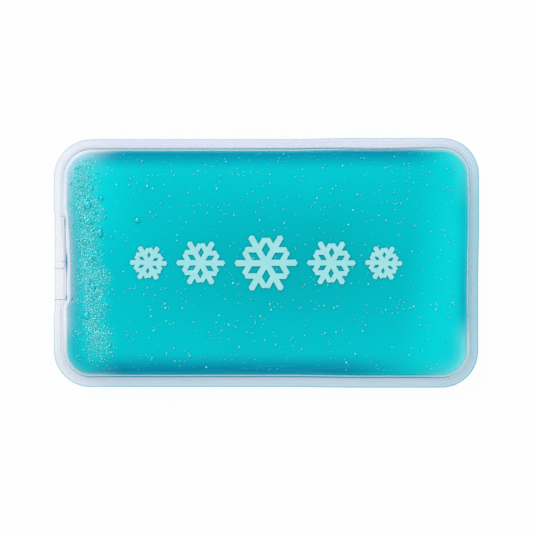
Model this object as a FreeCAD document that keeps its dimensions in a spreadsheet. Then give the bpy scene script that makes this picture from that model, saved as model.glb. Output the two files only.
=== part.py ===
"""A reusable gel ice pack: a flat pouch of clear soft film, filled with blue-green cooling gel.

Two sheets of clear film are welded together face to face along a narrow border with round corners.
Inside the border they bulge apart over the gel, like a flat pillow, and the pouch lies on its back.
The pouch was filled through a gap in the left-hand weld, which two overlapping closing welds shut,
so that the film is pinched flat further in there and the cut edge is set back a little.
The front carries a row of snowflakes in a thin layer of pale ink.

Frame, in millimetres: X runs along the pouch, Y across it and Z up, out of the front sheet.
The origin is on the surface that the pouch lies on, below its middle.
"""

import FreeCAD, Part
import os
import Sketcher

SHEET = "Dims"

DIMENSIONS = {
    # The cut outline of both sheets and the weld that joins them
    "pack_length": 150.0,
    "pack_width": 87.6,
    "corner_radius": 13.0,
    "film_thickness": 0.3,
    "weld_width": 3.9,
    # How the sheets bulge: the weld's height over the table, the front's rise over the weld, the width of
    # the crown's flat, and how far in from the weld the flat underside starts
    "weld_height": 6.2,
    "crown_rise": 8.7,
    "crown_flat": 34.0,
    "underside_inset": 10.0,
    # The welding tool leaves a shallow groove between a rim at the cut edge and a bead at the bulge
    "rim_width": 0.45,
    "bead_width": 0.4,
    "weld_depth": 0.07,
    # The filling gap in the left-hand weld and the two closing welds across it
    "port_length": 34.6,
    "port_setback": 0.4,
    "closing_reach": 5.6,
    "closing_top": 16.6,
    "closing_bottom": 12.9,
    "closing_radius": 1.3,
    "closing_depth": 0.06,
    "closing_step": 0.6,
    "first_closing_length": 18.5,
    "second_closing_length": 13.4,
    "pinch_spread": 3.0,
    # The ink on the crown's flat and its snowflakes, whose row the flat is long enough to hold
    "ink_thickness": 0.1,
    "large_flake_span": 22.0,
    "middle_flake_span": 17.0,
    "small_flake_span": 13.0,
    "flake_gap": 3.2,
}

# A bulge is a loft through level outlines, or stations. Each lies at a share of the way in from the
# weld to the flat, and the stations crowd towards the weld, where the film is steepest. The bulge has
# risen there by (1 - (1 - share) ^ fullness) ^ bluntness of its height.
CROWDING = 1.8
FRONT_STEPS = 10
FRONT_FULLNESS = 3.8
BACK_STEPS = 6
BACK_FULLNESS = 2.0
BLUNTNESS = 0.6
# Further in, the corners open towards a full round end, which keeps this share of the half width so that
# every outline has short straight sides, and the pinch of the closing welds fades out.
FULL_ROUND = 0.9
PINCH_FADING = 5

# The strokes of a snowflake: their widths, where a branch leaves its arm and how far it reaches, all as
# shares of the snowflake's span, and the branch's angle and half the angle of a stroke's tip
FLAKE_ARMS = 6
ARM_SHARE = 0.105
BRANCH_SHARE = 0.085
BRANCH_START = 0.24
BRANCH_REACH = 0.22
BRANCH_ANGLE = 60.0
TIP_HALF_ANGLE = 60.0

# A cut that goes right through runs this far past what it cuts.
CLEAR = 2.0
FRONT = 1
BACK = -1

doc = FreeCAD.newDocument("ice_pack")


def dim(name):
    """How an expression names a cell of the sheet."""
    return f"{SHEET}.{name}"


HALF_LENGTH = f"{dim('pack_length')} / 2"
HALF_WIDTH = f"{dim('pack_width')} / 2"


def make_sheet():
    """The spreadsheet of driving dimensions, one named cell each."""
    sheet = doc.addObject("Spreadsheet::Sheet", SHEET)
    for row, (name, value) in enumerate(DIMENSIONS.items(), start=1):
        sheet.set(f"A{row}", name)
        sheet.set(f"B{row}", str(value))
        sheet.setAlias(f"B{row}", name)
    doc.recompute()


def new_body(label):
    """An empty body with a name of its own."""
    body = doc.addObject("PartDesign::Body", label)
    body.Label = label
    return body


def origin_part(body, role):
    """One of the body's own origin planes or axes."""
    return next(item for item in body.Origin.OriginFeatures if item.Role == role)


def level_sketch(body, name, height):
    """An empty sketch that lies flat in the body, at a height given as an expression."""
    sketch = body.newObject("Sketcher::SketchObject", name)
    sketch.AttachmentSupport = [(origin_part(body, "XY_Plane"), "")]
    sketch.MapMode = "FlatFace"
    sketch.setExpression("AttachmentOffset.Base.z", height)
    return sketch


def bind(sketch, name, expression, *constraint):
    """Adds a named dimension to a sketch and ties it to an expression."""
    index = sketch.addConstraint(Sketcher.Constraint(*constraint))
    sketch.renameConstraint(index, name)
    sketch.setExpression(f"Constraints.{name}", expression)


def draw_loop(sketch, points, corners):
    """Draws a closed loop, clockwise from its top left corner: lines between the points, and a quarter
    arc after each line for which corners gives the arc's centre, the quarter turn that it starts at and
    its radius. Returns the index of the first piece."""
    quarter = FreeCAD.Units.Quantity("90 deg").getValueAs("rad").Value
    first = sketch.GeometryCount
    for index, (start, end) in enumerate(points):
        sketch.addGeometry(Part.LineSegment(FreeCAD.Vector(*start), FreeCAD.Vector(*end)), False)
        if index in corners:
            centre, turns, radius = corners[index]
            circle = Part.Circle(FreeCAD.Vector(*centre), FreeCAD.Vector(0, 0, 1), radius)
            sketch.addGeometry(Part.ArcOfCircle(circle, turns * quarter, (turns + 1) * quarter), False)
    return first


def draw_outline(sketch, name, left, right, bottom, top, radius, pinch=None):
    """Draws a rectangle with four equal round corners. Its sides are expressions, each counted outwards
    from the sketch's origin, so that left is positive to the left and bottom is positive downwards. A
    pinch turns the left side's middle inwards: it gives the depth and the heights of the pinch's lower
    outer, lower inner, upper inner and upper outer corner, all expressions."""
    x, y, r = 30.0, 20.0, 5.0
    lines = [
        ((-x + r, y), (x - r, y)),
        ((x, y - r), (x, -y + r)),
        ((x - r, -y), (-x + r, -y)),
    ]
    if pinch:
        heights = (-8.0, -6.0, 6.0, 8.0)
        bends = [(-x, -y + r), (-x, heights[0]), (1 - x, heights[1])]
        bends += [(1 - x, heights[2]), (-x, heights[3]), (-x, y - r)]
        lines += list(zip(bends, bends[1:]))
    else:
        lines.append(((-x, -y + r), (-x, y - r)))
    corners = {
        0: ((x - r, y - r), 0, r),
        1: ((x - r, -y + r), 3, r),
        2: ((-x + r, -y + r), 2, r),
        len(lines) - 1: ((-x + r, y - r), 1, r),
    }
    first = draw_loop(sketch, lines, corners)
    last = sketch.GeometryCount - 1
    joints = [(0, 1, 2), (2, 3, 4), (4, 5, 6), (last - first - 1, last - first, 0)]
    for before, arc, after in joints:
        sketch.addConstraint(Sketcher.Constraint("Tangent", first + before, 2, first + arc, 2))
        sketch.addConstraint(Sketcher.Constraint("Tangent", first + arc, 1, first + after, 1))
    for arc in (3, 5, last - first):
        sketch.addConstraint(Sketcher.Constraint("Equal", first + 1, first + arc))
    for line in (0, 4):
        sketch.addConstraint(Sketcher.Constraint("Horizontal", first + line))
    for line in (2, 6):
        sketch.addConstraint(Sketcher.Constraint("Vertical", first + line))
    bind(sketch, f"{name}_top", top, "DistanceY", -1, 1, first, 1, y)
    bind(sketch, f"{name}_right", right, "DistanceX", -1, 1, first + 2, 1, x)
    bind(sketch, f"{name}_bottom", bottom, "DistanceY", first + 4, 1, -1, 1, y)
    bind(sketch, f"{name}_left", left, "DistanceX", first + 6, 1, -1, 1, x)
    bind(sketch, f"{name}_radius", radius, "Radius", first + 1, r)
    if pinch:
        side = first + 6
        for line in range(side, side + 4):
            sketch.addConstraint(Sketcher.Constraint("Coincident", line, 2, line + 1, 1))
        for line in (side + 2, side + 4):
            sketch.addConstraint(Sketcher.Constraint("Vertical", line))
        sketch.addConstraint(Sketcher.Constraint("PointOnObject", side + 4, 1, side))
        depth, *corner_heights = pinch
        bind(sketch, f"{name}_pinch", depth, "DistanceX", side, 2, side + 2, 1, 1.0)
        for number, (line, height) in enumerate(zip(range(side, side + 4), corner_heights)):
            place = heights[number]
            bind(sketch, f"{name}_height_{number}", height, "DistanceY", -1, 1, line, 2, place)


def draw_inset_outline(sketch, name, inset):
    """Draws the pouch's outline, moved inwards by an expression."""
    along, across = f"{HALF_LENGTH} - {inset}", f"{HALF_WIDTH} - {inset}"
    radius = f"{dim('corner_radius')} - {inset}"
    draw_outline(sketch, name, along, along, across, across, radius)


def bulge_loft(body, name, side, film):
    """Lofts one side's bulge through its stations. side is FRONT for upwards and BACK for downwards, and
    film is an expression for how far the surface lies outside the gel's. The pinch narrows towards the
    flat with the left side's straight stretch."""
    pocket_width = f"({HALF_WIDTH} - {dim('weld_width')})"
    pocket_radius = f"({dim('corner_radius')} - {dim('weld_width')})"
    if side == FRONT:
        steps, fullness = FRONT_STEPS, FRONT_FULLNESS
        height = dim("crown_rise")
        run = f"({pocket_width} - {dim('crown_flat')} / 2)"
    else:
        steps, fullness = BACK_STEPS, BACK_FULLNESS
        height = f"({dim('weld_height')} - {dim('film_thickness')})"
        run = dim("underside_inset")
    upper, lower = dim("closing_top"), dim("closing_bottom")
    sketches = []
    for step in range(steps + 1):
        share = (step / steps) ** CROWDING
        rise = (1 - (1 - share) ** fullness) ** BLUNTNESS
        level = f"{dim('weld_height')} + {side} * ({height} + {film}) * {rise}"
        inset = f"{run} * {share}"
        closed = f"(1 - {inset} / {pocket_width})"
        along = f"({HALF_LENGTH} - {dim('weld_width')} - {inset})"
        across = f"({pocket_width} - {inset})"
        radius = f"({pocket_radius} * {closed} + {FULL_ROUND} * {across} * (1 - {closed}))"
        narrowing = f"({across} - {radius}) / ({pocket_width} - {pocket_radius})"
        pinch = (
            f"({dim('closing_reach')} - {dim('weld_width')}) * {closed} ^ {PINCH_FADING}",
            f"-({lower} + {dim('pinch_spread')}) * {narrowing}",
            f"-{lower} * {narrowing}",
            f"{upper} * {narrowing}",
            f"({upper} + {dim('pinch_spread')}) * {narrowing}",
        )
        sketch = level_sketch(body, f"{name}_{step}", level)
        sides = [f"{half} + {film}" for half in (along, along, across, across)]
        draw_outline(sketch, "outline", *sides, f"{radius} + {film}", pinch)
        sketches.append(sketch)
    loft = body.newObject("PartDesign::AdditiveLoft", f"{name}_loft")
    loft.Profile = sketches[0]
    loft.Sections = sketches[1:]
    loft.Ruled = True
    body.Tip = loft


def pocket(body, name, sketch, depth, side):
    """Cuts a sketch's shape away. side is FRONT for a cut that runs upwards and BACK for one that runs
    downwards."""
    cut = body.newObject("PartDesign::Pocket", name)
    cut.Profile = sketch
    cut.Type = "Length"
    cut.Reversed = side == FRONT
    cut.setExpression("Length", depth)
    body.Tip = cut


def gel_half(label, side):
    """The gel on one side of the weld's plane, which is also the hollow of that side's film."""
    body = new_body(label)
    bulge_loft(body, "bulge", side, "0")
    return body


def film_outside(label, side):
    """One sheet of film before it is hollowed: the flat border, the bulge and the cut edge's set-back."""
    body = new_body(label)
    outline = level_sketch(body, "cut_outline", dim("weld_height"))
    draw_inset_outline(outline, "outline", "0")
    border = body.newObject("PartDesign::Pad", "border")
    border.Profile = outline
    border.Type = "Length"
    border.Reversed = side == BACK
    border.setExpression("Length", dim("film_thickness"))
    body.Tip = border
    bulge_loft(body, "bulge", side, dim("film_thickness"))
    setback = level_sketch(body, "setback_outline", dim("weld_height"))
    draw_outline(
        setback,
        "outline",
        f"{HALF_LENGTH} + {CLEAR}",
        f"-({HALF_LENGTH}) + {dim('port_setback')}",
        f"{dim('port_length')} / 2",
        f"{dim('port_length')} / 2",
        f"{dim('port_setback')} / 2",
    )
    pocket(body, "setback", setback, f"{dim('film_thickness')} + {CLEAR}", side)
    return body


def press_welds(body):
    """Presses the tool's marks into the front of the border: the weld's groove all round, and the two
    closing welds, the second of which overlaps the first and reaches a little further in."""
    face = f"{dim('weld_height')} + {dim('film_thickness')}"
    bead = f"({dim('film_thickness')} + {dim('bead_width')})"
    groove = level_sketch(body, "weld_groove_outline", face)
    draw_inset_outline(groove, "outer", dim("rim_width"))
    draw_inset_outline(groove, "inner", f"({dim('weld_width')} - {bead})")
    pocket(body, "weld_groove", groove, dim("weld_depth"), BACK)
    left = f"{HALF_LENGTH} - {dim('port_setback')} - {dim('rim_width')}"
    reach = f"-({HALF_LENGTH}) + {dim('closing_reach')} - {bead}"
    radius = dim("closing_radius")
    first_bottom = f"{dim('first_closing_length')} - {dim('closing_top')}"
    second_top = f"{dim('second_closing_length')} - {dim('closing_bottom')}"
    depth = f"{dim('weld_depth')} + {dim('closing_depth')}"
    marks = {
        "first_closing": (f"{reach} - {dim('closing_step')}", first_bottom, dim("closing_top")),
        "second_closing": (reach, dim("closing_bottom"), second_top),
    }
    for name, (right, bottom, top) in marks.items():
        mark = level_sketch(body, f"{name}_outline", face)
        draw_outline(mark, "outline", left, right, bottom, top, radius)
        pocket(body, name, mark, depth, BACK)


def draw_stroke(sketch, length, width):
    """Draws a straight stroke from the sketch's origin along its X axis, with a blunt tip like a
    crystal's, whose two faces meet at 120 degrees."""
    x, tip, y = 6.0, 7.0, 1.0
    points = [(0, y), (x, y), (tip, 0), (x, -y), (0, -y)]
    for start, end in zip(points, points[1:] + points[:1]):
        sketch.addGeometry(Part.LineSegment(FreeCAD.Vector(*start), FreeCAD.Vector(*end)), False)
    for line in range(5):
        sketch.addConstraint(Sketcher.Constraint("Coincident", line, 2, (line + 1) % 5, 1))
    for line in (0, 3):
        sketch.addConstraint(Sketcher.Constraint("Horizontal", line))
    sketch.addConstraint(Sketcher.Constraint("Equal", 0, 3))
    sketch.addConstraint(Sketcher.Constraint("PointOnObject", 0, 1, -2))
    sketch.addConstraint(Sketcher.Constraint("PointOnObject", 3, 2, -2))
    sketch.addConstraint(Sketcher.Constraint("PointOnObject", 1, 2, -1))
    bind(sketch, "length", length, "DistanceX", -1, 1, 1, 2, tip)
    bind(sketch, "half_width", f"({width}) / 2", "DistanceY", -1, 1, 0, 1, y)
    bind(sketch, "tip", f"({width}) / 2 / tan({TIP_HALF_ANGLE} deg)", "DistanceX", 0, 2, 1, 2, tip - x)


def snowflake(label, span, offset):
    """One snowflake of ink on the crown: an arm with two branches, repeated round the middle. span and
    offset are expressions."""
    body = new_body(label)
    start, reach = f"{span} * {BRANCH_START}", f"{span} * {BRANCH_REACH}"
    strokes = {
        "arm": (f"{span} / 2", ARM_SHARE, "0", 0.0),
        "upper_branch": (reach, BRANCH_SHARE, start, BRANCH_ANGLE),
        "lower_branch": (reach, BRANCH_SHARE, start, -BRANCH_ANGLE),
    }
    crown = f"{dim('weld_height')} + {dim('crown_rise')} + {dim('film_thickness')}"
    pads = []
    for name, (length, width, start, angle) in strokes.items():
        sketch = level_sketch(body, f"{name}_outline", crown)
        turn = FreeCAD.Rotation(FreeCAD.Vector(0, 0, 1), angle)
        sketch.AttachmentOffset = FreeCAD.Placement(FreeCAD.Vector(0, 0, 0), turn)
        sketch.setExpression("AttachmentOffset.Base.x", start)
        draw_stroke(sketch, length, f"{span} * {width}")
        pad = body.newObject("PartDesign::Pad", name)
        pad.Profile = sketch
        pad.Type = "Length"
        pad.setExpression("Length", dim("ink_thickness"))
        body.Tip = pad
        pads.append(pad)
    doc.recompute()
    pattern = body.newObject("PartDesign::PolarPattern", "arms")
    pattern.Originals = pads
    pattern.Axis = (origin_part(body, "Z_Axis"), [""])
    pattern.Angle = 360
    pattern.Occurrences = FLAKE_ARMS
    body.Tip = pattern
    body.setExpression("Placement.Base.x", offset)
    return body


def snowflake_row():
    """A large snowflake in the middle, with a smaller and a smallest one on each side."""
    large, middle, small = (dim(f"{size}_flake_span") for size in ("large", "middle", "small"))
    middle_at = f"({large} / 2 + {dim('flake_gap')} + {middle} / 2)"
    small_at = f"({middle_at} + {middle} / 2 + {dim('flake_gap')} + {small} / 2)"
    places = {
        "flake_far_left": (small, f"-{small_at}"),
        "flake_left": (middle, f"-{middle_at}"),
        "flake_centre": (large, "0"),
        "flake_right": (middle, middle_at),
        "flake_far_right": (small, small_at),
    }
    return [snowflake(label, *place) for label, place in places.items()]


def combine(kind, label, **links):
    """A boolean of finished pieces, under the name of the piece that it makes."""
    made = doc.addObject(kind, label)
    made.Label = label
    for link, value in links.items():
        setattr(made, link, value)
    return made


def make_pieces():
    """The four pieces: the front and back film, the gel and the print."""
    front_gel = gel_half("front_gel", FRONT)
    back_gel = gel_half("back_gel", BACK)
    front_outside = film_outside("front_outside", FRONT)
    press_welds(front_outside)
    back_outside = film_outside("back_outside", BACK)
    return [
        combine("Part::Cut", "front_film", Base=front_outside, Tool=front_gel),
        combine("Part::Cut", "back_film", Base=back_outside, Tool=back_gel),
        combine("Part::Fuse", "gel_filling", Base=front_gel, Tool=back_gel),
        combine("Part::MultiFuse", "front_print", Shapes=snowflake_row()),
    ]


def check(pieces):
    """Stops the build if any object failed or any piece has no sound shape."""
    for item in doc.Objects:
        if "Invalid" in item.State or "Error" in item.State:
            raise RuntimeError(f"{item.Label} failed: {item.State}")
    for piece in pieces:
        if piece.Shape.isNull() or not piece.Shape.isValid() or not piece.Shape.Solids:
            raise RuntimeError(f"{piece.Label} has no sound solid")


def export(pieces):
    """Writes one STEP file for each piece."""
    os.makedirs("parts", exist_ok=True)
    for piece in pieces:
        piece.Shape.exportStep(f"parts/{piece.Label}.step")
        box = piece.Shape.BoundBox
        size = f"{box.XLength:.2f} x {box.YLength:.2f} x {box.ZLength:.2f} mm"
        print(f"{piece.Label}: {size}, {piece.Shape.Volume / 1000:.2f} cm3, {len(piece.Shape.Solids)} solid")


make_sheet()
ice_pack = make_pieces()
doc.recompute()
check(ice_pack)
export(ice_pack)
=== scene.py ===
# %% [markdown]
# # A reusable gel ice pack
#
# A flat pouch of clear film, welded all round and filled with blue-green gel, lies on its back on a
# white table and is seen from straight above. This lesson dresses its plain solids: two sheets of
# film, the gel between them and a printed front. Each step says what a piece is on the real pack,
# how it could be made, and why one way was chosen.

# %% Load the plain solids
import bmesh
import bpy
import numpy as np
from mathutils.bvhtree import BVHTree
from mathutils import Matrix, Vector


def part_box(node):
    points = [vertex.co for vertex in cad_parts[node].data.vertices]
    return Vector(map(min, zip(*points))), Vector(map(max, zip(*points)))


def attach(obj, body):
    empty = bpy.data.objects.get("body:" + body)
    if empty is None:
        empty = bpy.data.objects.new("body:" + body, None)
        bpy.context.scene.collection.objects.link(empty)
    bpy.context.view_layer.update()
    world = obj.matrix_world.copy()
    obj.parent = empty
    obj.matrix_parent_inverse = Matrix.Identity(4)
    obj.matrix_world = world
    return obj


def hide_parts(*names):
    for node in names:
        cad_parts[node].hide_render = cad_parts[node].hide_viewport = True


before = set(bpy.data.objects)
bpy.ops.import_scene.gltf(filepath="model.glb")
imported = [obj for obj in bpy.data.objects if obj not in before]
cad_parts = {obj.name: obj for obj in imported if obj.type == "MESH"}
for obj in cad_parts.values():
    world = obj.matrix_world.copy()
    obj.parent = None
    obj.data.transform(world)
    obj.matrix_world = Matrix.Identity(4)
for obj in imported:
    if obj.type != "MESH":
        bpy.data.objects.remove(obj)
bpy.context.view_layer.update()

MM = 0.001
print("solids:", sorted(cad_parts))

# %% [markdown]
# ## Sizes
#
# The solids already say how long, wide and thick everything is, so most sizes are read from their
# boxes. Only the shape of the bulge and of the closing welds is given again here, as the few numbers
# that a designer would write on a drawing.

# %% Sizes read from the solids
film_low, film_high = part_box("front_film")
gel_low, gel_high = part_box("gel_filling")
HALF_LENGTH = film_high[0]
HALF_WIDTH = film_high[1]
WELD_HEIGHT = film_low[2]
FILM = film_high[2] - gel_high[2]
WELD_WIDTH = HALF_LENGTH - gel_high[0]
CROWN_RISE = gel_high[2] - WELD_HEIGHT
BELLY_DROP = WELD_HEIGHT - gel_low[2]
print(f"film {FILM / MM:.2f} mm thick, weld {WELD_WIDTH / MM:.2f} mm wide")
print(f"the front rises {CROWN_RISE / MM:.2f} mm, the back drops {BELLY_DROP / MM:.2f} mm")

# %% Sizes of the bulge
CORNER_RADIUS = 13.0 * MM
CROWN_FLAT = 34.0 * MM
UNDERSIDE_INSET = 10.0 * MM
# The numbers of the bulge's curve, and how closely its rings crowd towards the weld
FRONT_FULLNESS = 3.8
BACK_FULLNESS = 2.0
BLUNTNESS = 0.6
FULL_ROUND = 0.9
CROWDING = 2.2
# How far the gel's edge wanders and how high its puckers are
EDGE_WANDER = 0.2 * MM
PUCKER_HEIGHT = 0.05 * MM
print(f"the front's flat is {CROWN_FLAT / MM:.0f} mm wide")

# %% Sizes of the weld and of the closed filling gap
RIM_WIDTH = 0.45 * MM
BEAD_WIDTH = 0.4 * MM
WELD_DEPTH = 0.07 * MM
PORT_LENGTH = 34.6 * MM
PORT_SETBACK = 0.3 * MM
PORT_FADING = 2.0 * MM
CLOSING_TOP = 16.6 * MM
CLOSING_BOTTOM = 12.9 * MM
CLOSING_RADIUS = 1.3 * MM
CLOSING_DEPTH = 0.06 * MM
CLOSING_STEP = 0.6 * MM
FIRST_CLOSING_LENGTH = 18.5 * MM
SECOND_CLOSING_LENGTH = 13.4 * MM
# The closing welds pinch the bulge by this depth at the lower one, and less at the upper one
PINCH_DEPTH = 1.1 * MM
PINCH_SPREAD = 2.6 * MM
PINCH_FADING = 5
UPPER_PINCH = 0.45
overlap = FIRST_CLOSING_LENGTH + SECOND_CLOSING_LENGTH - CLOSING_TOP - CLOSING_BOTTOM
print(f"the closing welds overlap by {overlap / MM:.1f} mm")

# %% [markdown]
# ## Points round the pouch
#
# Every level of the pouch is a rectangle with round corners. A mesh could be made by scaling one
# outline, but then the weld would be wider at the ends than along the sides. Instead, each ring is
# worked out from its own half sides and corner radius, always with the same number of points on each
# straight side and in each corner, so that rings of different shape join up row by row. On the short
# sides the points crowd where the closing welds begin and end, because fine lines are drawn there.

# %% Where the points lie on a side and in a corner
# Points on a long side, on a short side and in a corner, and more near each end of a closing weld
ALONG, EVEN_ACROSS, CORNER = 96, 56, 24
FINE_POINTS, FINE_REACH = 17, 1.2 * MM
along_side = np.linspace(-1, 1, ALONG, endpoint=False)
closing_ends = np.array([
    CLOSING_TOP, CLOSING_TOP - FIRST_CLOSING_LENGTH,
    SECOND_CLOSING_LENGTH - CLOSING_BOTTOM, -CLOSING_BOTTOM,
])
fine_steps = np.linspace(-FINE_REACH, FINE_REACH, FINE_POINTS)
crowded = -(closing_ends[:, None] + fine_steps).ravel() / (HALF_WIDTH - CORNER_RADIUS)
across_side = np.sort(np.concatenate([np.linspace(-1, 1, EVEN_ACROSS)[1:], crowded]))[::-1]
ACROSS = len(across_side)
corner_angle = np.linspace(0, np.pi / 2, CORNER, endpoint=False)
RING = 2 * (ALONG + ACROSS + 2 * CORNER)
LEFT_SIDE = slice(RING - CORNER - ACROSS, RING - CORNER)
print("points in a ring:", RING)


# %% Rings as arrays
def rounded_rectangle(half_x, half_y, radius):
    """Points round rectangles with round corners, one ring for each entry of the three arrays.

    Half a ring is worked out. The top side is its half length times numbers from -1 to 1, a corner is
    its centre plus the radius times the sine and cosine of an angle from 0 to 90 degrees, and the
    right side and its lower corner follow in the same way. The other half is the first one turned by
    180 degrees. Returns x and y, each with one row a ring."""
    half_x, half_y, radius = (np.atleast_1d(value)[:, None] for value in (half_x, half_y, radius))
    flat_x, flat_y = half_x - radius, half_y - radius
    sine, cosine = np.sin(corner_angle), np.cos(corner_angle)
    x = [flat_x * along_side, flat_x + radius * sine, half_x + 0 * across_side, flat_x + radius * cosine]
    y = [half_y + 0 * along_side, flat_y + radius * cosine, flat_y * across_side, -flat_y - radius * sine]
    shape = np.broadcast_shapes(*(part.shape[:1] for part in x))
    x = np.concatenate([np.broadcast_to(part, shape + part.shape[1:]) for part in x], axis=1)
    y = np.concatenate([np.broadcast_to(part, shape + part.shape[1:]) for part in y], axis=1)
    return np.concatenate([x, -x], axis=1), np.concatenate([y, -y], axis=1)


# The direction that points away from the pouch at each point of a ring: a ring of no size, grown by one
out_x, out_y = (value[0] for value in rounded_rectangle(1.0, 1.0, 1.0))

# How far round the cut outline each point lies, from 0 to 1
cut_x, cut_y = rounded_rectangle(HALF_LENGTH, HALF_WIDTH, CORNER_RADIUS)
steps_round = np.hypot(np.roll(cut_x[0], -1) - cut_x[0], np.roll(cut_y[0], -1) - cut_y[0])
way_round = np.concatenate([[0.0], np.cumsum(steps_round)[:-1]]) / steps_round.sum()
print(f"the outline is {steps_round.sum() / MM:.0f} mm long")


# %% [markdown]
# ## Lines that wander
#
# Film that is pulled over gel is never quite even: the edge of the gel wanders by a few tenths of a
# millimetre, and fine puckers run in from the weld. Random numbers for each point would give a rough
# surface. A sum of sine waves with whole numbers of periods round the ring is smooth, gives the same
# result each time, and meets itself where the ring closes.

# %% Wandering and smooth steps
def wander(seed, *periods):
    """Smooth values round the ring, mostly from -1 to 1: the sum of a sine wave for each number of
    periods, with seeded phases and strengths, over the root of the strengths' summed squares."""
    rng = np.random.default_rng(seed)
    phases = rng.uniform(0, 2 * np.pi, (len(periods), 1))
    strengths = rng.uniform(0.5, 1.0, (len(periods), 1))
    turns = np.multiply.outer(periods, way_round) * 2 * np.pi
    return (np.sin(turns + phases) * strengths).sum(0) / np.sqrt((strengths ** 2).sum())


def smooth_step(value, start, end):
    """0 before start, 1 after end, and 3 s^2 - 2 s^3 between, with s the share of the way."""
    share = np.clip((value - start) / (end - start), 0, 1)
    return share * share * (3 - 2 * share)


def grow(value, start, end):
    """A smooth step between two places in millimetres: 0 before start and 1 after end."""
    return smooth_step(value, start * MM, end * MM)


def fade(value, start, end):
    """The other way round: 1 before start and 0 after end."""
    return 1 - grow(value, start, end)


edge_wander = wander(4, 3, 5, 8, 13, 21)
puckers = wander(9, 38, 51, 67, 83, 96, 113) * (0.6 + 0.4 * wander(12, 2, 3, 5, 7))
print(f"edge wander {edge_wander.min():.2f} to {edge_wander.max():.2f}")


# %% [markdown]
# ## The bulge
#
# The gel pushes each sheet out into a flat pillow. It rises steeply at the weld and levels off, which
# a power curve describes with two numbers. Towards the flat, the corners open into larger rounds, and
# on the left the closing welds pinch the film further in. A cloth simulation would find such a shape
# too, but a formula keeps it exactly on the solids.

# %% Rings of a bulge
def pinch_shape(y, narrowing=1.0):
    """How much the closing welds pinch the left side at height y: 1 along the lower weld, easing to
    UPPER_PINCH along the upper one, with a short smooth step down to 0 beyond each. All heights are
    multiplied by narrowing, which is less than 1 for rings nearer the flat."""
    bottom, top = -CLOSING_BOTTOM * narrowing, CLOSING_TOP * narrowing
    spread = PINCH_SPREAD * narrowing
    easing = 1 - (1 - UPPER_PINCH) * smooth_step(y, 0.0, top)
    above = smooth_step(y, bottom - spread, bottom)
    return above * easing * (1 - smooth_step(y, top - spread / 6, top + spread))


def bulge_rings(side, offset, steps):
    """The rings of one side's bulge from the weld to the flat, as x, y and z with one row a ring.
    side is 1 for the front and -1 for the back, and offset is how far the surface is outside the gel.

    share goes from 0 at the weld to 1 at the flat, as the ring's number over steps to the power of
    CROWDING. The height is the rise times (1 - (1 - share) ^ fullness) ^ bluntness. The corner radius
    goes from the weld's to nearly half the width as the ring shrinks. Just above the weld, the ring
    wanders sideways and puckers."""
    share = np.linspace(0, 1, steps + 1) ** CROWDING
    pocket = HALF_WIDTH - WELD_WIDTH
    weld_radius = CORNER_RADIUS - WELD_WIDTH
    inset = (pocket - CROWN_FLAT / 2 if side > 0 else UNDERSIDE_INSET) * share
    closed = 1 - inset / pocket
    radius = weld_radius * closed + FULL_ROUND * (pocket - inset) * (1 - closed)
    half_x, half_y = HALF_LENGTH - WELD_WIDTH - inset + offset, pocket - inset + offset
    x, y = rounded_rectangle(half_x, half_y, radius + offset)
    narrowing = ((pocket - inset - radius) / (pocket - weld_radius))[:, None]
    depth = (PINCH_DEPTH * closed ** PINCH_FADING)[:, None]
    x[:, LEFT_SIDE] += depth * pinch_shape(y[:, LEFT_SIDE], narrowing)
    fullness = FRONT_FULLNESS if side > 0 else BACK_FULLNESS
    rise = (CROWN_RISE if side > 0 else BELLY_DROP) + offset
    height = rise * (1 - (1 - share) ** fullness) ** BLUNTNESS
    uneven = (smooth_step(share, 0.0, 0.06) * (1 - smooth_step(share, 0.1, 0.5)))[:, None]
    sideways = edge_wander * uneven * EDGE_WANDER
    z = WELD_HEIGHT + side * (height[:, None] + puckers * uneven * PUCKER_HEIGHT)
    return x + out_x * sideways, y + out_y * sideways, z


def middle_rings(ring, steps):
    """Fills the flat inside a ring, given as x, y and z: rings at even shares of the way in to a short
    straight line along the middle, the last of which lies on that line."""
    x, y, z = ring
    share = np.linspace(0, 1, steps + 1)[1:, None]
    half_line = (HALF_LENGTH - HALF_WIDTH) / 2
    line = np.clip(x, -half_line, half_line)
    return x * (1 - share) + line * share, y * (1 - share), z + 0 * share * x


# %% [markdown]
# ## From rings to a mesh
#
# Each piece is one closed skin: rings that start in the middle of one face, go out to the edge and
# come back to the middle of the other face. Neighbouring rings are joined by four-sided faces, worked
# out as one array of numbers, and the points that fall together in the middle are merged.

# %% The outline's pull
TOP_PULL, BOTTOM_PULL, RIGHT_PULL, CORNER_PULL = 0.4 * MM, 0.25 * MM, 0.3 * MM, 0.25 * MM


def pulled(x, y, z):
    """The pouch isn't quite a straight-sided rectangle. Towards the right, points near the top and
    bottom edge move out, in the upper half those on the right do too, and those at the upper left
    corner move in. Every move is one of the four pulls times smooth steps in x and y."""
    top, bottom, to_right = grow(y, 25, 40), grow(-y, 25, 40), grow(x, 8, 32)
    upper_left, upper_right = grow(-x, 58, 75) * grow(y, 28, 43), grow(x, 60, 72) * grow(y, -8, 14)
    new_x = x + RIGHT_PULL * upper_right + CORNER_PULL * upper_left
    new_y = y + (TOP_PULL * top - BOTTOM_PULL * bottom) * to_right - CORNER_PULL * upper_left
    return new_x, new_y, z


# %% Rings joined to a closed skin
def stack(*parts):
    """Several sets of rings, each as x, y and z, as one set in the same order."""
    return tuple(np.concatenate([np.atleast_2d(part[axis]) for part in parts]) for axis in range(3))


def backwards(rings):
    """The same rings from the last to the first."""
    return tuple(axis[::-1] for axis in rings)


def whole_face(bulge, middle_steps):
    """A bulge's rings, and the rings of the flat inside the last of them."""
    return stack(bulge, middle_rings([axis[-1] for axis in bulge], middle_steps))


# %% Meshes and objects
MERGE_WITHIN, NO_LENGTH = 1e-6, 1e-7


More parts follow.
